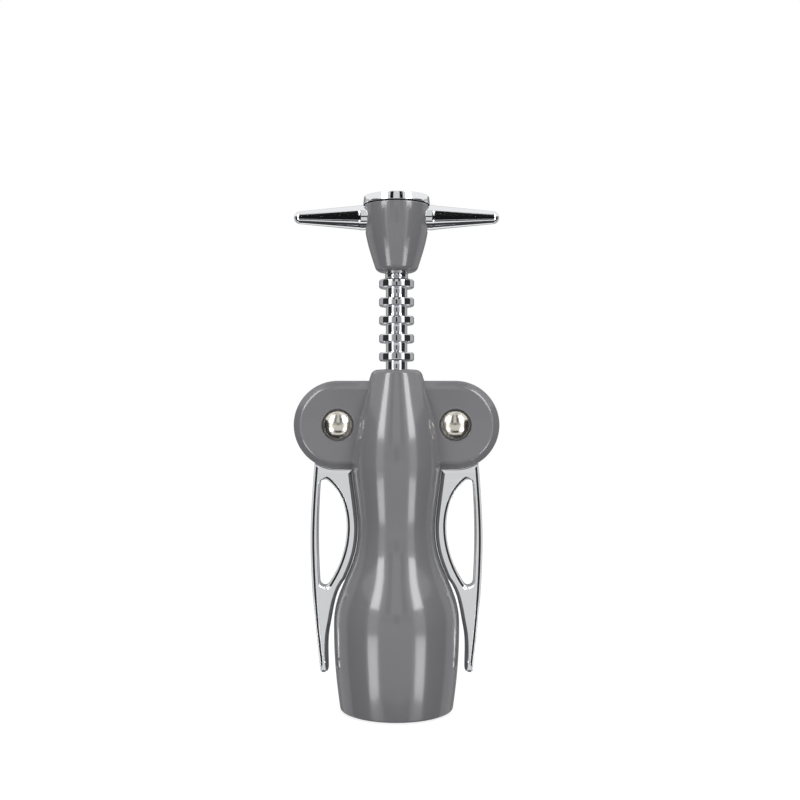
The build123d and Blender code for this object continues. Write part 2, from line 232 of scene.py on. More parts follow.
def add_node(tree, kind, inputs):
    """New node with its inputs wired."""
    return wire(tree, tree.nodes.new(kind), inputs)


def noise(tree, scale, detail, roughness=0.55):
    """Noise from 0 to 1 on object coordinates; object units are metres, so scale is per metre."""
    position = tree.nodes.new("ShaderNodeTexCoord").outputs["Object"]
    values = {"Vector": position, "Scale": scale, "Detail": detail, "Roughness": roughness}
    return add_node(tree, "ShaderNodeTexNoise", values).outputs["Fac"]


def math_node(tree, operation, first, second, clamp=False):
    """Result of a Math node; each operand is a socket or a number."""
    node = add_node(tree, "ShaderNodeMath", {0: first, 1: second})
    node.operation, node.use_clamp = operation, clamp
    return node.outputs[0]


def colour_mix(tree, factor, first, second):
    """Colour between first and second; all three may be sockets."""
    node = tree.nodes.new("ShaderNodeMix")
    node.data_type = "RGBA"
    return wire(tree, node, {"Factor": factor, "A": first, "B": second}).outputs["Result"]


print("helpers ready for groups, materials and the world")

# %% Smudges: patchy gloss
def build_smudges():
    """Roughness = base + spread * (broad noise * fine noise - 0.25), for surfaces that hands touch.

    A noise is 0.5 on average, so the product of two is about 0.25, and base stays the average gloss.
    """
    group, inside, outside = new_group("smudges", {"Base": 0.1, "Spread": 0.06}, ["Roughness"])
    mixed = math_node(group, "MULTIPLY", noise(group, 70.0, 3.0), noise(group, 900.0, 2.0))
    centred = math_node(group, "SUBTRACT", mixed, 0.25)
    spread = math_node(group, "MULTIPLY", centred, inside.outputs["Spread"])
    total = math_node(group, "ADD", spread, inside.outputs["Base"], clamp=True)
    group.links.new(total, outside.inputs["Roughness"])
    return group


smudges = build_smudges()
print("group", smudges.name)


# %% Skin: the fine unevenness of a moulded or plated surface
def build_skin():
    """Height = wave * broad noise + grain * fine noise, for a Bump node."""
    group, inside, outside = new_group("skin", {"Wave": 1.0, "Grain": 0.2}, ["Height"])
    wave = math_node(group, "MULTIPLY", noise(group, 160.0, 1.0), inside.outputs["Wave"])
    grain = math_node(group, "MULTIPLY", noise(group, 2600.0, 2.0), inside.outputs["Grain"])
    group.links.new(math_node(group, "ADD", wave, grain), outside.inputs["Height"])
    return group


skin = build_skin()
print("group", skin.name)


# %% Edge wear: where a corner rubs
def build_edge_wear():
    """Mask = gain * (pointiness - threshold) * patchy noise, kept from 0 to 1."""
    group, inside, outside = new_group("edge_wear", {"Threshold": 0.52, "Gain": 12.0}, ["Mask"])
    geometry = group.nodes.new("ShaderNodeNewGeometry")
    above = math_node(group, "SUBTRACT", geometry.outputs["Pointiness"], inside.outputs["Threshold"])
    gained = math_node(group, "MULTIPLY", above, inside.outputs["Gain"], clamp=True)
    mask = math_node(group, "MULTIPLY", gained, noise(group, 420.0, 4.0, 0.7), clamp=True)
    group.links.new(mask, outside.inputs["Mask"])
    return group


edge_wear = build_edge_wear()
print("group", edge_wear.name)

# %% [markdown]
# ## Finishes
# The bell and the knob are grey plastic with the soft sheen of a polished mould. The levers, the
# crossbar and the cap are zinc with bright chrome. The rack's chrome is a little darker, the pins'
# nickel a little warmer, and the parts inside are plain steel, nylon, plastic and rubber. Each could
# have a material of its own, but they differ only in colour, metal, gloss and how strong the three
# effects are, so one function builds them all. Colours are linear values. A colour that changes over
# the surface goes through a Mix node into Base Color, and what is constant is set on the shader.

# %% The finish builder
MOTTLING = 0.04
MOTTLES_PER_METRE = 55.0
COAT_ROUGHNESS = 0.04
RELIEF_DEPTH = 0.0002


def placed(tree, group, inputs):
    """Output of a node group that is placed in a tree with its own inputs."""
    node = tree.nodes.new("ShaderNodeGroup")
    node.node_tree = group
    return wire(tree, node, inputs).outputs[0]


def finish(name, colour, worn, metallic, gloss, spread, wave, grain, bump, coat=0.0):
    """Principled material.

    colour and worn are linear colours, mixed by the edge wear mask, and colour is varied by MOTTLING.
    gloss and spread go to the smudges, wave and grain to the skin, and bump is the Bump node's
    strength.
    """
    material = bpy.data.materials.new(name)
    material.use_nodes = True
    tree = material.node_tree
    dark = (*[c * (1 - MOTTLING) for c in colour], 1)
    light = (*[min(1, c * (1 + MOTTLING)) for c in colour], 1)
    varied = colour_mix(tree, noise(tree, MOTTLES_PER_METRE, 5.0), dark, light)
    relief = add_node(tree, "ShaderNodeBump", {
        "Strength": bump,
        "Distance": RELIEF_DEPTH,
        "Height": placed(tree, skin, {"Wave": wave, "Grain": grain}),
    })
    wire(tree, tree.nodes["Principled BSDF"], {
        "Base Color": colour_mix(tree, placed(tree, edge_wear, {}), varied, (*worn, 1)),
        "Metallic": metallic,
        "Roughness": placed(tree, smudges, {"Base": gloss, "Spread": spread}),
        "Coat Weight": coat,
        "Coat Roughness": COAT_ROUGHNESS,
        "Normal": relief.outputs["Normal"],
    })
    return material


# %% The ten finishes
# Each row: colour, worn colour, metallic, gloss, spread, wave, grain, bump and, if any, coat.
RECIPES = {
    "grey_abs": [(0.180, 0.178, 0.190), (0.27, 0.27, 0.28), 0.0, 0.17, 0.10, 1.0, 0.25, 0.06, 0.25],
    "zinc_chrome": [(0.80, 0.81, 0.83), (0.88, 0.88, 0.89), 1.0, 0.07, 0.08, 1.0, 0.1, 0.05],
    "rack_chrome": [(0.68, 0.69, 0.72), (0.85, 0.85, 0.86), 1.0, 0.05, 0.06, 1.0, 0.1, 0.03],
    "pin_nickel": [(0.70, 0.67, 0.60), (0.85, 0.82, 0.76), 1.0, 0.17, 0.10, 0.8, 0.3, 0.05],
    "shaft_steel": [(0.52, 0.52, 0.53), (0.70, 0.70, 0.70), 1.0, 0.28, 0.12, 0.5, 1.0, 0.12],
    "worm_steel": [(0.62, 0.62, 0.64), (0.80, 0.80, 0.80), 1.0, 0.12, 0.12, 0.8, 0.6, 0.08],
    "washer_steel": [(0.56, 0.56, 0.57), (0.72, 0.72, 0.72), 1.0, 0.22, 0.10, 0.5, 0.8, 0.10],
    "bush_nylon": [(0.60, 0.59, 0.55), (0.68, 0.67, 0.64), 0.0, 0.42, 0.10, 0.6, 1.0, 0.20],
    "guide_plastic": [(0.030, 0.030, 0.033), (0.07, 0.07, 0.07), 0.0, 0.42, 0.14, 0.6, 1.0, 0.25],
    "collar_tpr": [(0.045, 0.045, 0.050), (0.09, 0.09, 0.09), 0.0, 0.68, 0.12, 0.6, 1.4, 0.40],
}
FINISHES = {name: finish(name, *values) for name, values in RECIPES.items()}


def dress(piece, slot):
    """The slot's finish as the only material of a piece; its mesh stays as it is."""
    piece.data.materials.clear()
    piece.data.materials.append(FINISHES[slot])


for part in frame["record"]["subparts"]:
    dress(nodes[part["node"]], part["material_slot"])
print(len(FINISHES), "finishes on", len(nodes), "nodes")


# %% Placing a remade piece
def place(piece, body, slot, replaced):
    """Rides a body, hides the node that it stands for, and takes the slot's finish."""
    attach(piece, body)
    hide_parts(replaced)
    dress(piece, slot)
    print(piece.name, len(piece.data.polygons), "faces on", body)


print("remade pieces replace their solids one for one")

# %% [markdown]
# ## Plates and outlines
# The ears and the levers are plates: an outline seen from the front, a thickness, and an edge that is
# softened all the way round. Each plate is made as a stack of closed curves, one for every step of
# the edge, and the stack is joined into a ring-shaped skin. Moving an outline inwards by a constant
# distance keeps the bevel equally wide everywhere.

# %% Normals and insets
def polyline_normals(curve, closed):
    """Unit normal at each point of a curve, pointing left of its direction."""
    if closed:
        ahead, behind = np.roll(curve, -1, 0) - curve, curve - np.roll(curve, 1, 0)
    else:
        ahead = np.vstack([np.diff(curve, axis=0), curve[-1:] - curve[-2:-1]])
        behind = np.vstack([curve[1:2] - curve[:1], np.diff(curve, axis=0)])
    ahead = ahead / np.linalg.norm(ahead, axis=1)[:, None]
    behind = behind / np.linalg.norm(behind, axis=1)[:, None]
    first = np.stack([-behind[:, 1], behind[:, 0]], 1)
    second = np.stack([-ahead[:, 1], ahead[:, 0]], 1)
    return (first + second) / (1 + (first * second).sum(1))[:, None]


def inset(outline, distance):
    """Closed anticlockwise outline moved inwards; corners move along their mitre."""
    return outline + polyline_normals(outline, True) * distance


square = np.array([(0, 0), (4, 0), (4, 4), (0, 4)], float)
print("a square of side 4, moved in by 1:", inset(square, 1).tolist())

# %% Evenly spaced points
KEPT_CORNER = math.radians(12)


def spaced(curve, step, closed=False):
    """The same curve with points about step apart; corners sharper than KEPT_CORNER are kept."""
    path = np.vstack([curve, curve[:1]]) if closed else curve
    leg = np.diff(path, axis=0)
    keep = np.linalg.norm(leg, axis=1) > 1e-6
    path = np.vstack([path[:-1][keep], path[-1:]])
    leg = np.diff(path, axis=0)
    length = np.linalg.norm(leg, axis=1)
    heading = np.arctan2(leg[:, 1], leg[:, 0])
    turn = abs((np.diff(heading) + np.pi) % (2 * np.pi) - np.pi)
    corners = np.concatenate([[0], np.flatnonzero(turn > KEPT_CORNER) + 1, [len(path) - 1]])
    along = np.concatenate([[0], np.cumsum(length)])
    runs = []
    for first, last in zip(corners[:-1], corners[1:]):
        count = max(1, round((along[last] - along[first]) / step))
        runs.append(np.linspace(along[first], along[last], count, endpoint=False))
    place_along = np.concatenate(runs + [[] if closed else [along[-1]]])
    return np.stack([np.interp(place_along, along, path[:, k]) for k in (0, 1)], 1)


print("the same square at steps of 0.5 has", len(spaced(square, 0.5, closed=True)), "points")


# %% Where two curves meet
JOIN_STEPS = 40


def meeting(first, second):
    """Where two curves last cross: for each, the leg's number and the share of that leg.

    Legs p + t r and q + u s cross at t = (q - p) x s / (r x s) and u = (q - p) x r / (r x s).
    """
    def across(a, b):
        return a[..., 0] * b[..., 1] - a[..., 1] * b[..., 0]

    r, s = np.diff(first, axis=0)[:, None], np.diff(second, axis=0)[None]
    gap = second[None, :-1] - first[:-1, None]
    base = across(r, s)
    base = np.where(abs(base) < 1e-12, 1e-12, base)
    t, u = across(gap, s) / base, across(gap, r) / base
    i, j = np.argwhere((t >= 0) & (t <= 1) & (u >= 0) & (u <= 1))[-1]
    return (i, t[i, j]), (j, u[i, j])


def point_on(curve, leg, share):
    """Point at a share of one leg of a curve."""
    return curve[leg] + share * (curve[leg + 1] - curve[leg])


def crossing(first, second):
    """The first curve up to where the two cross, and the second from there on."""
    (i, t), (j, _) = meeting(first, second)
    return np.vstack([first[: i + 1], point_on(first, i, t)]), second[j + 1 :]


def joined_by_arc(first, second, radius):
    """Two curves that meet at a corner, joined by an arc of the radius on their left side.

    Both are moved left by the radius; where the moved curves cross is the arc's centre.
    """
    moved_a = first + polyline_normals(first, False) * radius
    moved_b = second + polyline_normals(second, False) * radius
    (i, t), (j, u) = meeting(moved_a, moved_b)
    centre = point_on(moved_a, i, t)
    start, end = point_on(first, i, t) - centre, point_on(second, j, u) - centre
    a0 = math.atan2(start[1], start[0])
    sweep = (math.atan2(end[1], end[0]) - a0 + np.pi) % (2 * np.pi) - np.pi
    a = a0 + np.linspace(0, 1, JOIN_STEPS) * sweep
    turn = centre + radius * np.stack([np.cos(a), np.sin(a)], 1)
    return first[: i + 1], turn, second[j + 1 :]


def arc(centre, radius, start, end, count):
    """Circular arc between two angles in degrees."""
    a = np.radians(np.linspace(start, end, count))
    return np.array(centre) + radius * np.stack([np.cos(a), np.sin(a)], 1)


print("two crossing lines meet at", point_on(square[::2], *meeting(square[::2], square[1::2])[0]))


# %% Skins, joins and cuts
def stacked_skin(name, curves, ring=True):
    """Skin through a list of (outline of (x, z) points, y); a ring also joins the last to the first."""
    grid = np.stack([np.stack([c[:, 0], np.full(len(c), y), c[:, 1]], 1) for c, y in curves], 1)
    return piece_from_grid(name, grid, wrap_columns=ring)


def merged(name, *parts):
    """One object from several closed ones; the separate objects are removed."""
    work = bmesh.new()
    for part in parts:
        work.from_mesh(part.data)
        bpy.data.objects.remove(part)
    mesh = bpy.data.meshes.new(name)
    work.to_mesh(mesh)
    work.free()
    return new_object(name, mesh)


def cut(piece, tool):
    """Boolean difference, applied; the tool is removed and sharp edges are marked again."""
    modifier = piece.modifiers.new("cut", "BOOLEAN")
    modifier.object = tool
    modifier.operation = "DIFFERENCE"
    modifier.solver = "EXACT"
    result = bpy.data.meshes.new_from_object(piece.evaluated_get(bpy.context.evaluated_depsgraph_get()))
    piece.modifiers.clear()
    bpy.data.objects.remove(tool)
    piece.data = result
    mark_edges(piece.data)


def mirrored(piece, name, axis=0):
    """Twin of a piece across the object's middle: axis 0 swaps left and right, 1 front and back."""
    flip = np.eye(4)
    flip[axis, axis] = -1
    mesh = piece.data.copy()
    mesh.transform(Matrix(flip.tolist()))
    mesh.flip_normals()
    return new_object(name, mesh)


print("plate tools ready")

# %% [markdown]
# ## The bell
# The bell is one moulding. Its side is a chain of S-curves from the mouth over the belly, the waist
# and the shoulder to the neck, so the highlight bends twice on its way up. A stack of cylinders
# smoothed by subdivision would never bend so evenly, so the wall's outline is turned round the axis.
# That gives the shell at once, with its collar seat and tunnel inside. The lever heads swing inside
# two narrow pockets, which are cut from the wall afterwards.

# %% The bell's wall
MOUTH_ROUND = 0.8
NECK_ROUND = 2.5
MOUTH, BELLY, WAIST, SHOULDER, NECK = (20.3, 0), (22.75, 31), (13.95, 66), (16.3, 88.5), (8.85, 123.2)
LIP_BORE, BUSH_BORE, TUNNEL, CHAMBER, COLLAR_SEAT = 6.76, 8.0, 10.8, 16.2, 17.6
BUSH_TOP, BUSH_FOOT, TUNNEL_FOOT, CHAMBER_TOP, SEAT_TOP, SEAT_CHAMFER = 120.5, 103.2, 60, 38, 23.5, 0.4
BELL_STEPS = 256

bell_side = np.vstack([
    bezier(MOUTH, (21.8, 9.92), (BELLY[0], 18.91), BELLY, 50),
    bezier(BELLY, (BELLY[0], 45.35), (WAIST[0], 49.9), WAIST, 60)[1:],
    bezier(WAIST, (WAIST[0], 71.2), (SHOULDER[0], 85.1), SHOULDER, 40)[1:],
    bezier(SHOULDER, (SHOULDER[0], 101.7), (12.32, 111.4), NECK, 60)[1:],
])


def rounded_end(curve, radius, level):
    """Upward curve ended by an arc tangent to it and to a level plane."""
    centres = curve + polyline_normals(curve, False) * radius
    last = int(np.searchsorted(centres[:, 1], level - radius)) - 1
    centre = centres[last]
    start = curve[last] - centre
    a = np.linspace(math.atan2(start[1], start[0]), np.pi / 2, 10)
    return np.vstack([curve[:last], centre + radius * np.stack([np.cos(a), np.sin(a)], 1)])


outer_line = rounded_end(bell_side, NECK_ROUND, bell_high[2])
flipped = rounded_end(outer_line[::-1] * (1, -1), MOUTH_ROUND, 0)
outer_line = flipped[::-1] * (1, -1)
hollow_line = np.vstack([
    rounded([
        (LIP_BORE, NECK[1]), (LIP_BORE, BUSH_TOP), (BUSH_BORE, BUSH_TOP), (BUSH_BORE, BUSH_FOOT),
        (TUNNEL, BUSH_FOOT), (TUNNEL, TUNNEL_FOOT),
    ], [0] * 6, 2),
    bezier((TUNNEL, TUNNEL_FOOT), (TUNNEL, 51.2), (CHAMBER, 46.8), (CHAMBER, CHAMBER_TOP), 24)[1:],
    rounded([
        (CHAMBER, CHAMBER_TOP), (CHAMBER, SEAT_TOP), (COLLAR_SEAT, SEAT_TOP),
        (COLLAR_SEAT, SEAT_CHAMFER), (COLLAR_SEAT + SEAT_CHAMFER, 0),
    ], [0] * 5, 2)[1:],
])
shell = lathe("bell_shell", np.vstack([outer_line, hollow_line]), BELL_STEPS, closed=True)
print("bell wall", len(outer_line), "outside points")

# %% Pockets for the lever heads
SLOT = 4.2 / 2
POCKET_RADIUS = 16.3

for side in (-1, 1):
    disc = [(0, -SLOT), (POCKET_RADIUS, -SLOT), (POCKET_RADIUS, SLOT), (0, SLOT)]
    cut(shell, lathe("pocket", disc, 128, "-Y", (side * pivot_x, 0, pivot_z)))
print("shell faces after the pockets:", len(shell.data.polygons))

# %% [markdown]
# ## The ears
# Each ear is two cheeks with the lever's slot between them. A cheek is flat in the middle, falls away
# in a broad soft border, and has a shallow round recess for the pin's head. The tight turn where the
# flat meets the border is what draws the thin bright line round the ear, so it gets its own radius,
# which a modifier's even bevel couldn't give it. One cheek is made, and the other three mirror it.

# %% Ear cheeks
EAR_HALF = 4.6
BORDER_WIDTH = 2.6
BORDER_DROP = 1.7
BORDER_TURN = 2.6
RECESS_RADIUS = 5.8
RECESS_DEPTH = 1.2
PIN_RADIUS = 3.0
BURIED_X = 12.0


def cheek_outline():
    """Right ear from the front, anticlockwise: round about the pivot, closed inside the bell's wall."""
    top, bottom = pivot_z + ear_radius, pivot_z - ear_radius
    inside = [(8.3, top), (BURIED_X, pivot_z), (BURIED_X, bottom)]
    round_end = arc((pivot_x, pivot_z), ear_radius, -90, 90, 120)
    return spaced(np.vstack([round_end, inside]), 0.45, closed=True)


def cheek(name):
    """Front cheek: face, recess, border and slot side as one skin from the pin's hole and back to it.

    The stretch that is buried in the bell's wall only shrinks in height, so it has no border.
    """
    outline = cheek_outline()
    away = outline - (pivot_x, pivot_z)
    direction = away / np.linalg.norm(away, axis=1)[:, None]
    inward = polyline_normals(outline, True)
    hidden = outline[:, 0] < BURIED_X + 0.01
    inward[hidden] = np.stack([0 * away[hidden, 0], -away[hidden, 1] / ear_radius], 1)
    edge = rounded(
        [(3.6, EAR_HALF), (BORDER_WIDTH, EAR_HALF), (0, EAR_HALF - BORDER_DROP), (0, SLOT), (1.0, SLOT)],
        [0, BORDER_TURN, 0.8, 0.25, 0],
    )
    bed = EAR_HALF - RECESS_DEPTH
    recess = rounded(
        [(PIN_RADIUS, SLOT), (PIN_RADIUS, bed), (RECESS_RADIUS, bed), (RECESS_RADIUS, EAR_HALF),
         (RECESS_RADIUS + 0.6, EAR_HALF)],
        [0, 0, 0.15, 0.2, 0], 5,
    )
    curves = [((pivot_x, pivot_z) + direction * r, -y) for r, y in recess]
    curves += [(outline + inward * s, -y) for s, y in edge]
    return stacked_skin(name, curves)


front_right = cheek("cheek")
back_right = mirrored(front_right, "cheek", axis=1)
front_left = mirrored(front_right, "cheek")
back_left = mirrored(back_right, "cheek")
bell = merged("bell", shell, front_right, back_right, front_left, back_left)

# %% Level faces of the ears
# The wide faces between recess and border are flat. Shaded flat, they take no share of their narrow
# neighbours' slope, which would draw faint lines across the ear.
WIDE_FACE = 0.4
LEVEL = 0.99999


def shade_level_faces_flat(mesh):
    """Flat shading for faces square to Y, beyond BURIED_X and over WIDE_FACE square millimetres."""
    count = len(mesh.polygons)
    facing, middle, area = np.empty(3 * count), np.empty(3 * count), np.empty(count)
    mesh.polygons.foreach_get("normal", facing)
    mesh.polygons.foreach_get("center", middle)
    mesh.polygons.foreach_get("area", area)
    level = abs(facing[1::3]) > LEVEL
    level &= (abs(middle[::3]) > BURIED_X * MM) & (area > WIDE_FACE * MM**2)
    mesh.polygons.foreach_set("use_smooth", ~level)
    mesh.update()
    return int(level.sum())


print("level faces on the ears:", shade_level_faces_flat(bell.data))
place(bell, "frame", "grey_abs", "bell_body")

# %% [markdown]
# ## The levers
# A lever is a zinc casting, chromed all over. The arm hugs the bell at the waist, swings clear of the
# belly, and ends in a narrow tip with a small dimple. A long window lightens it. Its outer edge and
# its window step down in a ledge, and it is bevelled beside the bell. The rolled corners of those
# steps carry the dark and bright lines that make it read as chrome. An extruded outline with a Bevel
# modifier would be quicker, but gives one bevel all round, so the arm is a stack of outlines whose
# steps differ from side to side. Behind the ear sits a thinner toothed head.

# %% Lever outline
LEVER_HALF = 3.8
BELL_GAP = 0.12
EAR_GAP = 0.3
EAR_FADE = 0.7
TIP_Z = 14.0
TIP_ROUND = 1.3
TIP_INSET = 0.75
TIP_TAPER = 3.0
TIP_WIDTH = 2.9
REACH_Z = 58
ROOT_OFFSET = 8
FREE_GAP = 1.4
TUCK = 0.6
BURIED_END = 14
CURVE_STEPS = 600
WINDOW_RIM, WINDOW_LEAN, WINDOW_DROP, WINDOW_LOW, WINDOW_ROUND = 2.6, 0.9, 18.2, 41.8, 1.8
WINDOW_HIGH_PULL, WINDOW_LOW_PULL = 0.16, 0.35
WAIST_WEB = 3.9
reach_x = BELLY[0] + 8.25
tip_x = BELLY[0] + 4.75


def hermite(points, tangents):
    """Smooth curve through points with given end tangents; each piece is a cubic Bezier.

    A middle tangent runs along the chord between its neighbours. Handles are a third of the chord.
    """
    p = np.array(points, float)
    t = [np.array(tangents[0], float)] + [p[k + 1] - p[k - 1] for k in range(1, len(p) - 1)]
    t = [v / np.linalg.norm(v) for v in t + [np.array(tangents[1], float)]]
    pieces = []
    for k in range(len(p) - 1):
        third = np.linalg.norm(p[k + 1] - p[k]) / 3
        pulls = p[k] + t[k] * third, p[k + 1] - t[k + 1] * third
        pieces.append(bezier(p[k], *pulls, p[k + 1], CURVE_STEPS))
    return np.vstack([pieces[0]] + [piece[1:] for piece in pieces[1:]])


def lever_outline():
    """Right arm from the front, anticlockwise: up its outside, along the ear, down beside the bell."""
    root = (pivot_x + ROOT_OFFSET, pivot_z - ROOT_OFFSET)
    outer = hermite([(tip_x, TIP_Z), (reach_x, REACH_Z), root], [(0.13, 1), (-0.08, 1)])
    tuck = ((BELLY[0] + WAIST[0]) / 2 - TUCK, (BELLY[1] + WAIST[1]) / 2)
    clear = (BELLY[0] + FREE_GAP, BELLY[1] - 1)
    free = hermite([tuck, clear, (tip_x - TIP_WIDTH, TIP_Z)], [(1, -1), (0, -1)])
    foot = np.linspace((tip_x - TIP_WIDTH, TIP_Z), (tip_x, TIP_Z), 60)
    under_ear = arc((pivot_x, pivot_z), ear_radius + EAR_GAP, -20, -90, 160)
    buried = np.linspace(under_ear[-1], (BURIED_END, under_ear[-1, 1]), 80)
    under_ear = np.vstack([under_ear, buried[1:]])
    outer, under_ear = crossing(outer, under_ear)
    under_ear, bell_edge = crossing(under_ear, bell_side[::-1] + (BELL_GAP, 0))
    bell_edge, free = crossing(bell_edge, free)
    free, corner_a, foot = joined_by_arc(free, foot, TIP_ROUND)
    foot, corner_b, outer = joined_by_arc(foot, outer, TIP_ROUND)
    loop = np.vstack([outer, under_ear[1:], bell_edge[1:], free[1:], corner_a, foot, corner_b])
    return spaced(loop, 0.4, closed=True)


def window_outline():
    """Window from the front, anticlockwise: a shallow arc outside, a deep bow inside, round ends."""
    edge_x, top, bottom = reach_x - WINDOW_RIM - WINDOW_LEAN, pivot_z - WINDOW_DROP, WINDOW_LOW
    bow_x = (4 * (WAIST[0] + BELL_GAP + WAIST_WEB) - edge_x) / 3
    tall = top - bottom
    pulls = (bow_x, top - WINDOW_HIGH_PULL * tall), (bow_x, bottom + WINDOW_LOW_PULL * tall)
    inner = bezier((edge_x, top), *pulls, (edge_x, bottom), 2400)
    drop, bulge = tall / 2, WINDOW_LEAN
    radius = (drop**2 + bulge**2) / (2 * bulge)
    half_angle = math.degrees(math.asin(drop / radius))
    outer = arc((edge_x + bulge - radius, bottom + drop), radius, -half_angle, half_angle, 2400)
    inner, low_end, outer = joined_by_arc(inner, outer, WINDOW_ROUND)
    rest = np.vstack([inner, low_end])
    outer, high_end, rest = joined_by_arc(outer, rest, WINDOW_ROUND)
    return spaced(np.vstack([outer, high_end, rest]), 0.2, closed=True)


outline = lever_outline()
window = window_outline()
print("lever outline", len(outline), "points, window", len(window), "points")

# %% Lever arm
SOFTENING = 8
SIDE_BLEND = 0.3


def bevel_share(curve):
    """1 where the edge is bevelled; falls to 0 within EAR_FADE of the edge that lies under the ear."""
    from_ear = np.hypot(curve[:, 0] - pivot_x, curve[:, 1] - pivot_z) - ear_radius - EAR_GAP
    below = pivot_z - ear_radius - EAR_GAP - curve[:, 1]
    return np.clip(np.where(curve[:, 0] > pivot_x, from_ear, below) / EAR_FADE, 0, 1)[:, None]


def soft_normals(curve):
    """Inward normals of a closed outline, evened out so that chrome shows no ripple."""
    normals = polyline_normals(curve, True)
    for _ in range(SOFTENING):
        normals = (np.roll(normals, 1, 0) + 2 * normals + np.roll(normals, -1, 0)) / 4
    return normals / np.linalg.norm(normals, axis=1)[:, None]


def blended(curve, facing, first, second):
    """Rings (outline moved in by s, depth y) for two sections of equal length, mixed point by point.

    The first section is used where the edge looks along +X, the second where it looks along -X.
    Facing is 1 for an outline round the solid and -1 for the outline of an opening. Towards the
    narrow tip the moves shrink, so that the two edges of the arm leave a flat between them.
    """
    normals = soft_normals(curve)
    share = np.clip((normals[:, 0] * facing + SIDE_BLEND) / (2 * SIDE_BLEND), 0, 1)[:, None]
    fade = bevel_share(curve) if facing > 0 else 1
    rise = np.clip((curve[:, 1:] - TIP_Z - TIP_ROUND) / TIP_TAPER, 0, 1)
    fade = fade * (TIP_INSET + (1 - TIP_INSET) * rise)
    rings = []
    for (s_a, y_a), (s_b, y_b) in zip(first[::-1], second[::-1]):
        moved = curve + normals * facing * (s_a * (1 - share) + s_b * share) * fade
        rings.append((moved, (y_a * (1 - share) + y_b * share)[:, 0]))
    return rings + [(ring, -y) for ring, y in rings[-2::-1]]


def lever_arm(name):
    """Arm from two edge skins and two flat faces.

    The outer edge is a ledge and a 45 degree step up to the face; beside the bell it is a bevel.
    The window has the same step towards the bell, and a plain round edge on the thin rail. A face
    is the plane between the two innermost outlines, filled with triangles. Sections are lists of
    (move inwards, depth).
    """
    half = LEVER_HALF
    radii = [0, 0.18, 0.12, 0.12, 0]
    ledge = [(0, 0), (0, half - 0.87), (0.62, half - 0.85), (1.47, half), (1.58, half)]
    bevel = [(0, 0), (0, half - 1.60), (0.45, half - 1.00), (1.20, half), (1.30, half)]
    step = [(0, 0), (0, half - 0.62), (0.45, half - 0.60), (1.22, half), (1.30, half)]
    plain = [(0, 0), (0, half - 0.45), (0.12, half - 0.20), (0.40, half), (0.60, half)]
    outside = blended(outline, 1, rounded(ledge, radii), rounded(bevel, [0, 0.6, 0.1, 0.03, 0]))
    small = [0, 0.12, 0.08, 0.08, 0]
    inside = blended(window, -1, rounded(step, small), rounded(plain, [0, 0.2, 0.1, 0.1, 0]))
    points, faces, rims, used = [], [], [], 0
    for rings in (outside, inside):
        points += [np.stack([ring[:, 0], -y, ring[:, 1]], 1) for ring, y in rings]
        index = used + np.arange(len(rings) * len(rings[0][0])).reshape(len(rings), -1)
        beside = np.roll(index, -1, 1)
        faces += np.stack([index[:-1], beside[:-1], beside[1:], index[1:]], -1).reshape(-1, 4).tolist()
        rims.append((index[0], index[-1]))
        used += index.size
    points = np.vstack(points)
    for rim in zip(*rims):
        order = np.concatenate(rim)
        flat = tessellate_polygon([[Vector(p) for p in points[ring]] for ring in rim])
        faces += [[int(order[k]) for k in corners] for corners in flat]
    mesh = bpy.data.meshes.new(name)
    mesh.from_pydata((points * MM).tolist(), [], faces)
    return finish_mesh(name, mesh)


arm = lever_arm("lever_arm")
print("arm faces", len(arm.data.polygons))

# %% Toothed head
RING_RADIUS, RING_HALF, RING_PITCH, RING_COUNT = 6.36, 1.55, 6.6, 10
TOP_RING_Z, TRAVEL = 154.3, 34
TOOTH_TIP, TOOTH_ROOT, TOOTH_GAP, TOOTH_PITCH = 15.8, 14.2, 3.5, 15.75
HEAD_HALF, HEAD_BORE = 1.8, 3.06


def head_outline():
    """Toothed disc about the pivot: square gaps, each centred on a ring of the rack as they mesh.

    A ring at height h over the pivot meets the disc after a turn of h / TOOTH_PITCH.
    """
    ring_heights = [TOP_RING_Z - pivot_z - RING_PITCH * k for k in range(RING_COUNT)]
    near = math.sqrt(TOOTH_TIP**2 - (pivot_x - RING_RADIUS) ** 2) + RING_HALF
    heights = [h for h in ring_heights if -near < h < TRAVEL + near]
    half = math.degrees(math.asin(TOOTH_GAP / 2 / TOOTH_TIP))
    low = math.degrees(math.asin(TOOTH_GAP / 2 / TOOTH_ROOT))
    path, pivot = [], (pivot_x, pivot_z)
    angles = sorted(180 - math.degrees(h / TOOTH_PITCH) for h in heights)
    previous = angles[-1] - 360
    for angle in angles:
        count = 40 if angle == angles[0] else 8
        path.append(arc(pivot, TOOTH_TIP, previous + half, angle - half, count))
        path.append(arc(pivot, TOOTH_ROOT, angle - low, angle + low, 5))
        previous = angle
    return spaced(np.vstack(path), 0.5, closed=True), len(heights)


head_curve, gaps = head_outline()


def lever_head(name):
    """Flat head with its bore, all edges lightly broken."""
    half = HEAD_HALF
    away = head_curve - (pivot_x, pivot_z)
    direction = away / np.linalg.norm(away, axis=1)[:, None]
    edge = rounded([(0.6, half), (0.25, half), (0, half - 0.25), (0, 0)], [0, 0.1, 0.1, 0], 3)
    front = [((pivot_x, pivot_z) + direction * HEAD_BORE, -y) for y in (0, half)]
    front += [(inset(head_curve, s), -y) for s, y in edge]
    back = [(curve, -y) for curve, y in front[::-1]]
    return stacked_skin(name, front + back[1:-1])


head = lever_head("lever_head")
print("head with", gaps, "gaps")

# %% Neck between head and arm, and the dimple
WEB_NEAR, WEB_FAR, WEB_FROM, WEB_TO = 12.0, 17.9, -8, 22
DIMPLE_HEIGHT = 4.0


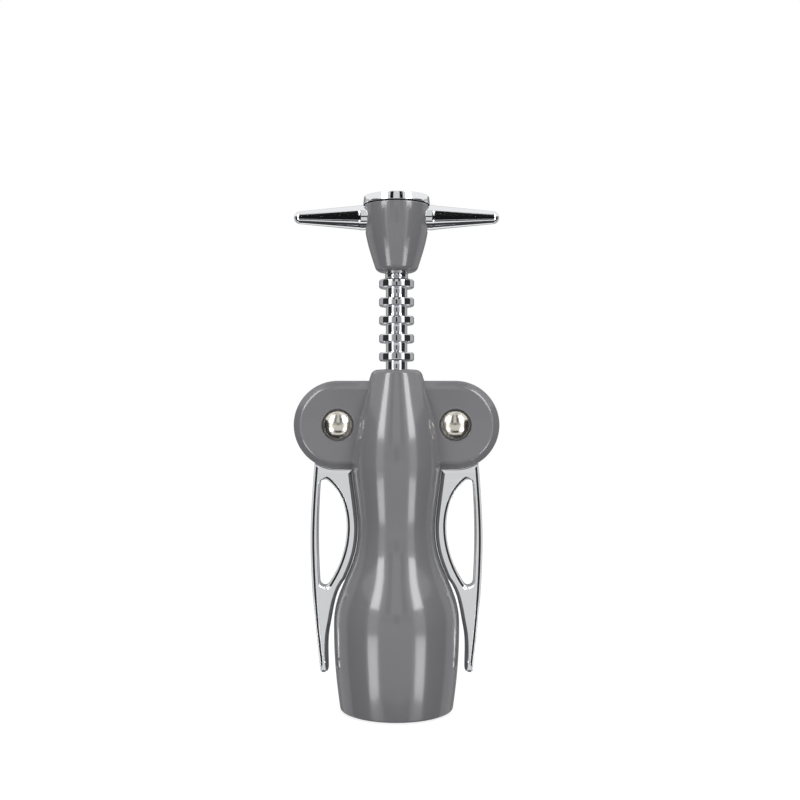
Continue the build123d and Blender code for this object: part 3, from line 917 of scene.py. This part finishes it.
def lever_neck(name):
    """Straight web from the head down into the arm, thinner than the ear's slot."""
    def ray(length, angle):
        turn = math.radians(angle)
        return pivot_x + length * math.sin(turn), pivot_z - length * math.cos(turn)

    sides = ((WEB_NEAR, WEB_FROM), (WEB_FAR, WEB_FROM), (WEB_FAR, WEB_TO), (WEB_NEAR, WEB_TO))
    loop = spaced(np.array([ray(*side) for side in sides]), 0.8, closed=True)
    middle = loop.mean(0)
    stack = ((0, -HEAD_HALF), (1, -HEAD_HALF), (1, HEAD_HALF), (0, HEAD_HALF))
    curves = [(middle + (loop - middle) * k, y) for k, y in stack]
    return stacked_skin(name, curves, ring=False)


dimple_profile = rounded([(0, -0.7), (0.5, -0.45), (0.5, 0.6), (0, 0.6)], [0, 0.2, 0, 0], 5)
dimple_place = (tip_x - TIP_WIDTH / 2, -LEVER_HALF, TIP_Z + DIMPLE_HEIGHT)
cut(arm, lathe("dimple", dimple_profile, 24, "-Y", dimple_place))
right_lever = merged("right_lever_cast", arm, head, lever_neck("lever_neck"))
left_lever = mirrored(right_lever, "left_lever_cast")
place(right_lever, "right_wing", "zinc_chrome", "right_lever")
place(left_lever, "left_wing", "zinc_chrome", "left_lever")

# %% [markdown]
# ## The rack
# The rack is a turned sleeve. Its teeth are full rings, so the spindle can turn inside it while the
# heads of the levers climb it. The rings could be copies of one disc on a rod, but turning one closed
# outline leaves no seams, and breaks every ring's corners at 45 degrees, which gives the bright line
# that runs round each ring. The bore stays open for the spindle.

# %% Rack sleeve and rings
RING_CHAMFER = 0.45
TOP_RING_DROP, COLLAR_HEIGHT, COLLAR_RADIUS = 3.6, 1.4, 4.2
SLEEVE_RADIUS, SLEEVE_BORE = 3.9, 2.49


def rack_outline():
    """Closed outline: up the outside, ring by ring, over the collar and down the bore."""
    corners, radii = [(SLEEVE_RADIUS, rack_low[2])], [0.2]
    first = rack_high[2] - TOP_RING_DROP - (RING_COUNT - 1) * RING_PITCH
    for middle in first + RING_PITCH * np.arange(RING_COUNT):
        low, high, edge = middle - RING_HALF, middle + RING_HALF, RING_RADIUS - RING_CHAMFER
        corners += [(SLEEVE_RADIUS, low), (edge, low), (RING_RADIUS, low + RING_CHAMFER)]
        corners += [(RING_RADIUS, high - RING_CHAMFER), (edge, high), (SLEEVE_RADIUS, high)]
        radii += [0.25, 0.12, 0.12, 0.12, 0.12, 0.25]
    top = rack_high[2]
    step = top - COLLAR_HEIGHT
    corners += [(SLEEVE_RADIUS, step), (COLLAR_RADIUS, step), (COLLAR_RADIUS, top)]
    corners += [(SLEEVE_BORE, top), (SLEEVE_BORE, rack_low[2])]
    return rounded(corners, radii + [0.1, 0.15, 0.2, 0.15, 0], 5)


rack = lathe("rack_sleeve", rack_outline(), 144, closed=True)
place(rack, "carriage", "rack_chrome", "rack")

# %% [markdown]
# ## The handle
# The knob is moulded round the crossbar, so the plastic draws in softly round each arm. A fine
# turned skin is pressed in near the two holes first, and the holes are cut through it afterwards.
# The crossbar is a casting: an upright hub and two arms that taper to round ends. The cap is a
# plated disc that closes the knob, with a plug pressed into the hub. All three are turned shapes, so
# each is one profile, and only the knob's two holes need a Boolean.

# %% Knob
KNOB_FOOT, KNOB_TOP, KNOB_FOOT_ROUND = 7.3, 12.0, 2.5
ARM_HEIGHT, ARM_HOLE = 19.9, 4.6
LIP_WIDTH, LIP_DEPTH = 1.15, 0.85
HUB_RADIUS, HUB_GAP, HUB_FLOOR = 6.0, 0.1, 2.4
arm_z = knob_low[2] + ARM_HEIGHT
CAP_RADIUS, CAP_HEIGHT, CAP_DRAFT, CAP_ROUND = 12.15, 2.95, 0.35, 0.5
hub_low, hub_high = knob_low[2] + HUB_FLOOR, cap_high[2] - CAP_HEIGHT


def knob_side():
    """The knob's outside from foot to top: one Bezier, its foot rounded into the level floor."""
    low, high = knob_low[2], knob_high[2]
    tall = high - low
    side = bezier(
        (KNOB_FOOT, low), (KNOB_FOOT + 0.1 * tall, low + 0.33 * tall),
        (KNOB_TOP, high - 0.46 * tall), (KNOB_TOP, high - 0.3), 800,
    )
    upended = side[::-1] * (1, -1)
    foot = rounded_end(upended, KNOB_FOOT_ROUND, -low)[::-1] * (1, -1)
    edge = rounded([foot[-1], (KNOB_TOP, high), (KNOB_TOP - 1, high)], [0, 0.25, 0], 5)
    return spaced(np.vstack([foot, edge[1:]]), 0.18)


def press_round_arms(grid):
    """Outer points within LIP_WIDTH of an arm's hole move towards the axis by depth * (1 - u)^2.

    u runs from 0 at the hole's edge to 1 at the lip's outer line.
    """
    reach = np.hypot(grid[..., 1], grid[..., 2] - arm_z)
    u = np.clip((reach - ARM_HOLE) / LIP_WIDTH, 0, 1)
    radius = np.hypot(grid[..., 0], grid[..., 1])
    moved = np.where(radius > KNOB_FOOT, LIP_DEPTH * (1 - u) ** 2, 0)
    grid[..., :2] *= ((radius - moved) / radius)[..., None]
    return grid


def knob_skin(name, steps):
    """Ring skin: the side, the flat top, the hub's bore and the spindle's bore, turned about Z."""
    bore = HUB_RADIUS + HUB_GAP
    inside = [(bore, knob_high[2]), (bore, hub_low), (SLEEVE_BORE, hub_low), (SLEEVE_BORE, knob_low[2])]
    grid = np.stack(turned(np.vstack([knob_side(), inside]), steps), -1)
    return piece_from_grid(name, press_round_arms(grid), wrap_columns=True)


knob = knob_skin("knob", 384)
drill = [(0, -14), (ARM_HOLE, -14), (ARM_HOLE, 14), (0, 14)]
cut(knob, lathe("arm_hole", drill, 96, "X", (0, 0, arm_z)))
place(knob, "screw", "grey_abs", "handle_knob")

# %% Crossbar
ARM_ROOT, ARM_TIP = 4.5, 2.3
BEAD_RISE, BEAD_LENGTH = 0.12, 1.7
arm_end = bar_high[0]


def arm_profile():
    """Cone from root to tip with a round end, and a faint bead where it leaves the knob."""
    along = np.concatenate([[5.0, KNOB_TOP - 1.2], np.linspace(KNOB_TOP - 0.8, arm_end - ARM_TIP, 70)])
    share = np.clip((along - KNOB_TOP) / (arm_end - ARM_TIP - KNOB_TOP), 0, 1)
    radius = ARM_ROOT + (ARM_TIP - ARM_ROOT) * share
    bead = np.clip((along - KNOB_TOP) / BEAD_LENGTH, 0, 1)
    radius = radius + BEAD_RISE * np.sin(np.pi * bead) ** 2
    turn = np.linspace(0, np.pi / 2, 16)[1:]
    end = np.stack([ARM_TIP * np.cos(turn), arm_end - ARM_TIP + ARM_TIP * np.sin(turn)], 1)
    return np.vstack([[(0, along[0])], np.stack([radius, along], 1), end])


SPINDLE_RADIUS, SCREW_RADIUS, PLUG_RADIUS = 2.43, 1.5, 3.2
SEAT_DEPTH, SPINDLE_REACH = 4.4, 11
screw_seat, spindle_top = hub_high - SEAT_DEPTH, hub_low + SPINDLE_REACH
hub = lathe("hub", rounded([
    (SPINDLE_RADIUS, hub_low), (HUB_RADIUS, hub_low), (HUB_RADIUS, hub_high), (PLUG_RADIUS, hub_high),
    (PLUG_RADIUS, screw_seat), (SCREW_RADIUS, screw_seat), (SCREW_RADIUS, spindle_top),
    (SPINDLE_RADIUS, spindle_top),
], [0, 0.2, 0.2, 0.1, 0, 0, 0, 0], 4), 96, closed=True)
right_arm = lathe("right_arm", arm_profile(), 96, "X", (0, 0, arm_z))
left_arm = mirrored(right_arm, "left_arm")
bar = merged("crossbar", hub, right_arm, left_arm)
mark_edges(bar.data)
place(bar, "screw", "zinc_chrome", "handle_bar")

# %% Cap
cap_top = cap_high[2]
cap = lathe("top_cap", rounded([
    (0, cap_low[2]), (PLUG_RADIUS, cap_low[2]), (PLUG_RADIUS, hub_high), (CAP_RADIUS, hub_high),
    (CAP_RADIUS - CAP_DRAFT, cap_top), (0, cap_top),
], [0, 0.2, 0, 0.18, CAP_ROUND, 0], 8), 192)
place(cap, "screw", "zinc_chrome", "handle_cap")

# %% [markdown]
# ## The pivot pins
# Each pin is one nickel-plated turning: a low dome on a short rim, then the shaft that carries the
# lever. At the back the same dome ends in a stud that is pressed into the pin's bore. A sphere cut by
# a disc would do for the head, but one turned profile also gives it the small roll at its rim.

# %% Pins and rear caps
HEAD_RADIUS, HEAD_EDGE, HEAD_RISE, HEAD_ROUND = 5.45, 0.5, 3.0, 0.22
SEAT = EAR_HALF - RECESS_DEPTH
STUD_RADIUS, STUD_LENGTH = 1.6, 5.0


def dome(seat):
    """Head from its flat underside to its crown: a rim, and a sphere cap that is level at the crown."""
    fall = HEAD_RISE - HEAD_EDGE
    sphere = (HEAD_RADIUS**2 + fall**2) / (2 * fall)
    start = math.asin(HEAD_RADIUS / sphere)
    a = np.linspace(start, 0, 40)
    cap_arc = np.stack([sphere * np.sin(a), seat + HEAD_RISE - sphere + sphere * np.cos(a)], 1)
    rim = rounded([(HEAD_RADIUS, seat), tuple(cap_arc[0]), tuple(cap_arc[3])], [0, HEAD_ROUND, 0], 5)
    return np.vstack([rim, cap_arc[4:]])


def turned_pin(name, side):
    """Front pin: bore, shaft and dome, the dome towards the viewer."""
    shaft = [(0, STUD_LENGTH - SEAT), (STUD_RADIUS, STUD_LENGTH - SEAT), (STUD_RADIUS, -SEAT)]
    shaft += [(PIN_RADIUS, -SEAT), (PIN_RADIUS, SEAT)]
    return lathe(name, np.vstack([shaft, dome(SEAT)]), 96, "-Y", (side * pivot_x, 0, pivot_z))


def turned_stud(name, side):
    """Rear cap: the same dome facing away, with the stud reaching into the pin."""
    head = dome(SEAT)[::-1] * (1, -1)
    stud = [(STUD_RADIUS, -SEAT), (STUD_RADIUS, STUD_LENGTH - SEAT), (0, STUD_LENGTH - SEAT)]
    return lathe(name, np.vstack([head, stud]), 96, "-Y", (side * pivot_x, 0, pivot_z))


for side, word in ((-1, "left"), (1, "right")):
    place(turned_pin(word + "_pin", side), "frame", "pin_nickel", word + "_pivot_pin")
    place(turned_stud(word + "_stud_cap", side), "frame", "pin_nickel", word + "_pivot_cap")

# %% [markdown]
# ## The stage
# The floor and the world are white to the camera and to mirrors, so the object stands on a bright
# ground without any lamp being turned up for it. The floor is matt as well and catches the object's
# shadow. Two tall soft boxes light the object from left and right, but mirrors don't see them. What
# mirrors see is a ring of cards: bright strips draw the long upright highlights on the bell, and the
# dark cards between them give the chrome something to show. Lamps that mirrors see could do both,
# but then a highlight couldn't be moved or dimmed without changing how the matt parts are lit.

# %% World
WORLD_LIGHT = 0.66
WHITE = (1, 1, 1, 1)


def seen_directly(tree):
    """1 for a camera, mirror or glass ray, otherwise 0."""
    rays = tree.nodes.new("ShaderNodeLightPath")
    seen = math_node(tree, "MAXIMUM", rays.outputs["Is Camera Ray"], rays.outputs["Is Glossy Ray"])
    return math_node(tree, "MAXIMUM", seen, rays.outputs["Is Transmission Ray"])


def build_world():
    """White to the camera, mirrors and glass; a softer pale light for everything else."""
    world = bpy.data.worlds.new("studio")
    bpy.context.scene.world = world
    world.use_nodes = True
    tree = world.node_tree
    tree.nodes.clear()
    plain = add_node(tree, "ShaderNodeBackground", {"Color": WHITE, "Strength": WORLD_LIGHT})
    white = add_node(tree, "ShaderNodeBackground", {"Color": WHITE})
    shaders = {0: seen_directly(tree), 1: plain.outputs[0], 2: white.outputs[0]}
    mixed = add_node(tree, "ShaderNodeMixShader", shaders)
    add_node(tree, "ShaderNodeOutputWorld", {"Surface": mixed.outputs[0]})


build_world()
print("world light", WORLD_LIGHT)

# %% Floor
FLOOR_ALBEDO = 0.42
FLOOR_GLOW = 0.78
FLOOR_SIDE = 4.0


def flat_card(name, corners):
    """One quad with corners in metres."""
    mesh = bpy.data.meshes.new(name)
    mesh.from_pydata(corners, [], [(0, 1, 2, 3)])
    card = new_object(name, mesh)
    return card


def empty_material(name):
    """Material with an empty node tree."""
    material = bpy.data.materials.new(name)
    material.use_nodes = True
    material.node_tree.nodes.clear()
    return material, material.node_tree


def floor_material():
    """Matt pale floor that adds light of its own only for camera, mirror and glass rays."""
    material, tree = empty_material("floor")
    glow_strength = math_node(tree, "MULTIPLY", seen_directly(tree), FLOOR_GLOW)
    matt = add_node(tree, "ShaderNodeBsdfDiffuse", {"Color": (FLOOR_ALBEDO,) * 3 + (1,)})
    glow = add_node(tree, "ShaderNodeEmission", {"Strength": glow_strength})
    both = add_node(tree, "ShaderNodeAddShader", {0: matt.outputs[0], 1: glow.outputs[0]})
    add_node(tree, "ShaderNodeOutputMaterial", {"Surface": both.outputs[0]})
    return material


def level_card(name, half, height):
    """Square card, twice half wide, lying level at a height."""
    signs = ((-1, -1), (1, -1), (1, 1), (-1, 1))
    return flat_card(name, [(x * half, y * half, height) for x, y in signs])


floor = level_card("floor", FLOOR_SIDE / 2, 0)
floor.data.materials.append(floor_material())
floor.visible_glossy = False
print("floor side", FLOOR_SIDE)

# %% Lamps
LAMP_RADIANCE = 4.2


def softbox(name, azimuth, distance, width, height, middle, radiance):
    """Upright area lamp at an azimuth from the front, facing the object's axis; mirrors don't see it.

    Its power is radiance * pi * area, so the same radiance lights as much from any distance.
    """
    light = bpy.data.lights.new(name, "AREA")
    light.shape = "RECTANGLE"
    light.size, light.size_y = width, height
    light.energy = radiance * math.pi * width * height
    lamp = new_object(name, light)
    turn = math.radians(azimuth)
    lamp.location = (distance * math.sin(turn), -distance * math.cos(turn), middle)
    lamp.rotation_euler = (math.pi / 2, 0, turn)
    lamp.visible_camera = lamp.visible_glossy = False


for name, azimuth, width in (("left_box", -46, 0.24), ("right_box", 44, 0.26)):
    softbox(name, azimuth, 0.7, width, 0.62, 0.30, LAMP_RADIANCE)
print("lamp radiance", LAMP_RADIANCE)

# %% Cards that only mirrors see
def glow_material(level):
    """Flat glow of one level; it isn't sampled as a lamp."""
    material, tree = empty_material(f"card_{level}")
    glow = add_node(tree, "ShaderNodeEmission", {"Strength": level})
    add_node(tree, "ShaderNodeOutputMaterial", {"Surface": glow.outputs[0]})
    material.cycles.emission_sampling = "NONE"
    return material


def mirror_only(card, level):
    """Gives a card its glow and hides it from everything but mirror rays."""
    card.data.materials.append(glow_material(level))
    card.visible_camera = card.visible_diffuse = card.visible_shadow = card.visible_transmission = False


def upright_card(name, azimuth, distance, spread, low, high, level):
    """Upright card seen only in reflections: spread is the angle that it covers, level its glow."""
    turn = math.radians(azimuth)
    middle = np.array([distance * math.sin(turn), -distance * math.cos(turn)])
    side = np.array([math.cos(turn), math.sin(turn)]) * distance * math.tan(math.radians(spread / 2))
    ends = [middle - side, middle + side]
    corners = [(*ends[0], low), (*ends[1], low), (*ends[1], high), (*ends[0], high)]
    mirror_only(flat_card(name, corners), level)


def facing_card(name, across, away, low, high, level):
    """Card square to the view: across gives its left and right edge, all lengths in metres."""
    corners = [(across[k], -away, z) for k, z in ((0, low), (1, low), (1, high), (0, high))]
    mirror_only(flat_card(name, corners), level)


STRIP_AZIMUTH, STRIP_DISTANCE, STRIP_SPREAD = 43.5, 0.7, 19
STRIPS = (("high", 0.29, 0.95, 8.8), ("middle", -0.11, 0.29, 1.5), ("low", -0.34, -0.11, 6.2))
facing_card("front_light", (-0.55, 0.55), 0.92, -0.90, 1.95, 0.75)
facing_card("rack_grey", (-0.50, 0.50), 0.91, 0.10, 0.29, 0.45)
facing_card("rack_dark", (-0.08, 0.08), 0.9, 0.10, 0.29, 0.03)
mirror_only(level_card("below_dark", 0.25, -0.3), 0.05)
facing_card("low_dark", (-0.44, 0.44), 0.89, -0.85, -0.48, 0.02)
facing_card("back_dark", (-0.45, 0.45), -0.9, -0.45, 0.80, 0.32)
for side, word in ((-1, "left"), (1, "right")):
    facing_card(word + "_arm_dark", (0.17 * side, 0.36 * side), 0.88, 0.29, 1.95, 0.01)
    facing_card(word + "_arm_dark_low", (0.016 * side, 0.047 * side), 0.025, 0.1635, 0.183, 0.01)
    for part, low, high, glow in STRIPS:
        strip = f"{word}_strip_{part}"
        upright_card(strip, STRIP_AZIMUTH * side, STRIP_DISTANCE, STRIP_SPREAD, low, high, glow)
    upright_card(word + "_dark", 77 * side, 0.75, 48, -2.0, 0.42, 0.04)
    upright_card(word + "_side", 120 * side, 0.8, 38, -0.6, 0.42, 0.55)
    upright_card(word + "_grey", 150 * side, 0.8, 22, -0.6, 0.42, 0.25)
print("cards placed")

# %% [markdown]
# ## The camera
# The object is seen straight on from a little over its middle. The bell's mouth and the cap show as
# ellipses that bend opposite ways, which puts the eye about 394 mm away and 107 mm up. Tilting the
# camera would also frame the object, but a small vertical shift keeps upright edges upright.

# %% Camera
CAMERA_DISTANCE = 394.0
CAMERA_HEIGHT = 106.6
CAMERA_SIDE = 1.24
LENS = 48.8
SHIFT = 0.0195

camera = new_object("camera", bpy.data.cameras.new("camera"))
camera.data.lens = LENS
camera.data.sensor_width = 36.0
camera.data.shift_y = SHIFT
camera.data.clip_start = 0.01
camera.location = (CAMERA_SIDE * MM, -CAMERA_DISTANCE * MM, CAMERA_HEIGHT * MM)
camera.rotation_euler = (math.pi / 2, 0, 0)
bpy.context.scene.camera = camera
bpy.context.scene.view_settings.view_transform = "Standard"
print("camera at", [round(c, 3) for c in camera.location])
